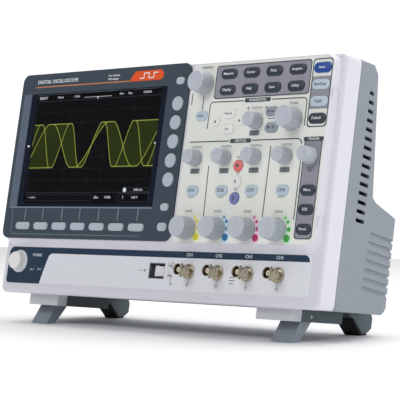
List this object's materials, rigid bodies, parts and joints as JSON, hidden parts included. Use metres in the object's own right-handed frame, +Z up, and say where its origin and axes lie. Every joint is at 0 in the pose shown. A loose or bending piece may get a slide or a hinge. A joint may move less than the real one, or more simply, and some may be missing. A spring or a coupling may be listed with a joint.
{
  "type": "bench oscilloscope",
  "caption": "Bench oscilloscope with a wide display, a knob and key panel, bayonet inputs, a stepped vented rear casing and two folding legs.",
  "frame": {"origin": "middle of the footprint, on the surface it stands on", "axes": "+X to the right seen from the front, +Y towards the back, +Z up; the instrument leans back 10.55 degrees on its open legs"},
  "size_m": [0.384, 0.1429, 0.2342],
  "materials": {
    "white_casing": "fine satin moulding",
    "bezel": "satin slate",
    "display_glass": "clear, gloss",
    "display": "dark display stack",
    "label": "printed label, white and dark blue",
    "rear_casing": "fine texture",
    "soft_key": "grey rubber",
    "light_key": "pale, translucent",
    "dark_key": "dark, satin",
    "blue_key": "blue",
    "yellow_key": "pale, channel lamp inside",
    "pink_key": "pink",
    "violet_key": "violet",
    "white_key": "white",
    "knob": "soft touch, fine ribs",
    "socket_metal": "nickel plate",
    "socket_core": "white insulator",
    "socket_shell": "tinned",
    "circuit_board": "green solder mask",
    "inner_metal": "bare sheet",
    "black_plastic": "moulded",
    "foot_block": "fine texture",
    "foot_rail": "dark slate",
    "leg": "fine texture",
    "rubber": "matt",
    "steel": "plain"
  },
  "bodies": {
    "instrument": {"front_case": "white_casing", "display_bezel": "bezel", "display_glass": "display_glass", "display_module": "display", "label_panel": "label", "input_sockets": "socket_metal", "socket_cores": "socket_core", "usb_socket": "socket_shell", "probe_terminals": "steel", "encoders": "inner_metal", "key_board": "circuit_board", "chassis_plate": "inner_metal", "main_board": "circuit_board", "power_supply": "circuit_board", "rear_case": "rear_casing", "fan_frame": "black_plastic", "mains_inlet": "black_plastic", "rear_ports": "black_plastic", "foot_blocks": "foot_block", "foot_rails": "foot_rail", "rubber_pads": "rubber", "leg_pins": "steel", "case_screws": "steel"},
    "variable_knob_body": {"variable_knob": "knob"},
    "horizontal_position_knob_body": {"horizontal_position_knob": "knob"},
    "horizontal_scale_knob_body": {"horizontal_scale_knob": "knob"},
    "trigger_level_knob_body": {"trigger_level_knob": "knob"},
    "position_knob_1_body": {"position_knob_1": "knob"},
    "scale_knob_1_body": {"scale_knob_1": "knob"},
    "position_knob_2_body": {"position_knob_2": "knob"},
    "scale_knob_2_body": {"scale_knob_2": "knob"},
    "position_knob_3_body": {"position_knob_3": "knob"},
    "scale_knob_3_body": {"scale_knob_3": "knob"},
    "position_knob_4_body": {"position_knob_4": "knob"},
    "scale_knob_4_body": {"scale_knob_4": "knob"},
    "select_key_body": {"select_key": "dark_key"},
    "function_keys_body": {"function_keys": "dark_key"},
    "autoset_key_body": {"autoset_key": "blue_key"},
    "run_stop_key_body": {"run_stop_key": "light_key"},
    "single_key_body": {"single_key": "light_key"},
    "default_key_body": {"default_key": "dark_key"},
    "arrow_keys_body": {"arrow_keys": "dark_key"},
    "zoom_key_body": {"zoom_key": "dark_key"},
    "play_key_body": {"play_key": "dark_key"},
    "math_key_body": {"math_key": "pink_key"},
    "reference_key_body": {"reference_key": "white_key"},
    "bus_key_body": {"bus_key": "violet_key"},
    "trigger_menu_key_body": {"trigger_menu_key": "dark_key"},
    "trigger_half_key_body": {"trigger_half_key": "dark_key"},
    "trigger_force_key_body": {"trigger_force_key": "dark_key"},
    "channel_key_1_body": {"channel_key_1": "yellow_key"},
    "channel_key_2_body": {"channel_key_2": "yellow_key"},
    "channel_key_3_body": {"channel_key_3": "yellow_key"},
    "channel_key_4_body": {"channel_key_4": "yellow_key"},
    "lower_soft_keys_body": {"lower_soft_keys": "soft_key"},
    "right_soft_keys_body": {"right_soft_keys": "soft_key"},
    "power_button_body": {"power_button": "white_key"},
    "left_leg_body": {"left_leg": "leg"},
    "right_leg_body": {"right_leg": "leg"},
    "fan_rotor_body": {"fan_rotor": "black_plastic"}
  },
  "joints": [
    {"name": "variable_knob_turn", "type": "hinge", "parent": "instrument", "child": "variable_knob_body", "pos_m": [0.0464, -0.03628, 0.21502], "axis": [0, -0.9831, 0.1831], "continuous": true},
    {"name": "horizontal_position_knob_turn", "type": "hinge", "parent": "instrument", "child": "horizontal_position_knob_body", "pos_m": [0.1096, -0.04265, 0.18081], "axis": [0, -0.9831, 0.1831], "continuous": true},
    {"name": "horizontal_scale_knob_turn", "type": "hinge", "parent": "instrument", "child": "horizontal_scale_knob_body", "pos_m": [0.1485, -0.04258, 0.18121], "axis": [0, -0.9831, 0.1831], "continuous": true},
    {"name": "trigger_level_knob_turn", "type": "hinge", "parent": "instrument", "child": "trigger_level_knob_body", "pos_m": [0.1718, -0.04822, 0.15093], "axis": [0, -0.9831, 0.1831], "continuous": true},
    {"name": "position_knob_1_turn", "type": "hinge", "parent": "instrument", "child": "position_knob_1_body", "pos_m": [0.046, -0.04822, 0.15093], "axis": [0, -0.9831, 0.1831], "continuous": true},
    {"name": "scale_knob_1_turn", "type": "hinge", "parent": "instrument", "child": "scale_knob_1_body", "pos_m": [0.046, -0.05932, 0.09135], "axis": [0, -0.9831, 0.1831], "continuous": true},
    {"name": "position_knob_2_turn", "type": "hinge", "parent": "instrument", "child": "position_knob_2_body", "pos_m": [0.0791, -0.04822, 0.15093], "axis": [0, -0.9831, 0.1831], "continuous": true},
    {"name": "scale_knob_2_turn", "type": "hinge", "parent": "instrument", "child": "scale_knob_2_body", "pos_m": [0.0791, -0.05932, 0.09135], "axis": [0, -0.9831, 0.1831], "continuous": true},
    {"name": "position_knob_3_turn", "type": "hinge", "parent": "instrument", "child": "position_knob_3_body", "pos_m": [0.1122, -0.04822, 0.15093], "axis": [0, -0.9831, 0.1831], "continuous": true},
    {"name": "scale_knob_3_turn", "type": "hinge", "parent": "instrument", "child": "scale_knob_3_body", "pos_m": [0.1122, -0.05932, 0.09135], "axis": [0, -0.9831, 0.1831], "continuous": true},
    {"name": "position_knob_4_turn", "type": "hinge", "parent": "instrument", "child": "position_knob_4_body", "pos_m": [0.1453, -0.04822, 0.15093], "axis": [0, -0.9831, 0.1831], "continuous": true},
    {"name": "scale_knob_4_turn", "type": "hinge", "parent": "instrument", "child": "scale_knob_4_body", "pos_m": [0.1453, -0.05932, 0.09135], "axis": [0, -0.9831, 0.1831], "continuous": true},
    {"name": "select_key_press", "type": "slide", "parent": "instrument", "child": "select_key_body", "axis": [0, 0.9831, -0.1831], "range_m": [0, 0.001], "stiffness_N_per_m": 200, "springref_m": -0.0008},
    {"name": "function_keys_press", "type": "slide", "parent": "instrument", "child": "function_keys_body", "axis": [0, 0.9831, -0.1831], "range_m": [0, 0.001], "stiffness_N_per_m": 300, "springref_m": -0.0008},
    {"name": "autoset_key_press", "type": "slide", "parent": "instrument", "child": "autoset_key_body", "axis": [0, 0.9831, -0.1831], "range_m": [0, 0.001], "stiffness_N_per_m": 200, "springref_m": -0.0008},
    {"name": "run_stop_key_press", "type": "slide", "parent": "instrument", "child": "run_stop_key_body", "axis": [0, 0.9831, -0.1831], "range_m": [0, 0.001], "stiffness_N_per_m": 200, "springref_m": -0.0008},
    {"name": "single_key_press", "type": "slide", "parent": "instrument", "child": "single_key_body", "axis": [0, 0.9831, -0.1831], "range_m": [0, 0.001], "stiffness_N_per_m": 200, "springref_m": -0.0008},
    {"name": "default_key_press", "type": "slide", "parent": "instrument", "child": "default_key_body", "axis": [0, 0.9831, -0.1831], "range_m": [0, 0.001], "stiffness_N_per_m": 200, "springref_m": -0.0008},
    {"name": "arrow_keys_press", "type": "slide", "parent": "instrument", "child": "arrow_keys_body", "axis": [0, 0.9831, -0.1831], "range_m": [0, 0.001], "stiffness_N_per_m": 300, "springref_m": -0.0008},
    {"name": "zoom_key_press", "type": "slide", "parent": "instrument", "child": "zoom_key_body", "axis": [0, 0.9831, -0.1831], "range_m": [0, 0.001], "stiffness_N_per_m": 200, "springref_m": -0.0008},
    {"name": "play_key_press", "type": "slide", "parent": "instrument", "child": "play_key_body", "axis": [0, 0.9831, -0.1831], "range_m": [0, 0.001], "stiffness_N_per_m": 200, "springref_m": -0.0008},
    {"name": "math_key_press", "type": "slide", "parent": "instrument", "child": "math_key_body", "axis": [0, 0.9831, -0.1831], "range_m": [0, 0.001], "stiffness_N_per_m": 200, "springref_m": -0.0008},
    {"name": "reference_key_press", "type": "slide", "parent": "instrument", "child": "reference_key_body", "axis": [0, 0.9831, -0.1831], "range_m": [0, 0.001], "stiffness_N_per_m": 200, "springref_m": -0.0008},
    {"name": "bus_key_press", "type": "slide", "parent": "instrument", "child": "bus_key_body", "axis": [0, 0.9831, -0.1831], "range_m": [0, 0.001], "stiffness_N_per_m": 200, "springref_m": -0.0008},
    {"name": "trigger_menu_key_press", "type": "slide", "parent": "instrument", "child": "trigger_menu_key_body", "axis": [0, 0.9831, -0.1831], "range_m": [0, 0.001], "stiffness_N_per_m": 200, "springref_m": -0.0008},
    {"name": "trigger_half_key_press", "type": "slide", "parent": "instrument", "child": "trigger_half_key_body", "axis": [0, 0.9831, -0.1831], "range_m": [0, 0.001], "stiffness_N_per_m": 200, "springref_m": -0.0008},
    {"name": "trigger_force_key_press", "type": "slide", "parent": "instrument", "child": "trigger_force_key_body", "axis": [0, 0.9831, -0.1831], "range_m": [0, 0.001], "stiffness_N_per_m": 200, "springref_m": -0.0008},
    {"name": "channel_key_1_press", "type": "slide", "parent": "instrument", "child": "channel_key_1_body", "axis": [0, 0.9831, -0.1831], "range_m": [0, 0.001], "stiffness_N_per_m": 200, "springref_m": -0.0008},
    {"name": "channel_key_2_press", "type": "slide", "parent": "instrument", "child": "channel_key_2_body", "axis": [0, 0.9831, -0.1831], "range_m": [0, 0.001], "stiffness_N_per_m": 200, "springref_m": -0.0008},
    {"name": "channel_key_3_press", "type": "slide", "parent": "instrument", "child": "channel_key_3_body", "axis": [0, 0.9831, -0.1831], "range_m": [0, 0.001], "stiffness_N_per_m": 200, "springref_m": -0.0008},
    {"name": "channel_key_4_press", "type": "slide", "parent": "instrument", "child": "channel_key_4_body", "axis": [0, 0.9831, -0.1831], "range_m": [0, 0.001], "stiffness_N_per_m": 200, "springref_m": -0.0008},
    {"name": "lower_soft_keys_press", "type": "slide", "parent": "instrument", "child": "lower_soft_keys_body", "axis": [0, 0.9831, -0.1831], "range_m": [0, 0.001], "stiffness_N_per_m": 300, "springref_m": -0.0008},
    {"name": "right_soft_keys_press", "type": "slide", "parent": "instrument", "child": "right_soft_keys_body", "axis": [0, 0.9831, -0.1831], "range_m": [0, 0.001], "stiffness_N_per_m": 300, "springref_m": -0.0008},
    {"name": "power_button_press", "type": "slide", "parent": "instrument", "child": "power_button_body", "axis": [0, 0.9831, -0.1831], "range_m": [0, 0.003], "stiffness_N_per_m": 200, "springref_m": -0.001},
    {"name": "left_leg_fold", "type": "hinge", "parent": "instrument", "child": "left_leg_body", "pos_m": [-0.1466, -0.02839, 0.01981], "axis": [1, 0, 0], "range_deg": [0, 130]},
    {"name": "right_leg_fold", "type": "hinge", "parent": "instrument", "child": "right_leg_body", "pos_m": [0.1466, -0.02839, 0.01981], "axis": [1, 0, 0], "range_deg": [0, 130]},
    {"name": "fan_rotor_spin", "type": "hinge", "parent": "instrument", "child": "fan_rotor_body", "pos_m": [0.095, 0.04666, 0.05961], "axis": [0, -0.9831, 0.1831], "continuous": true}
  ]
}
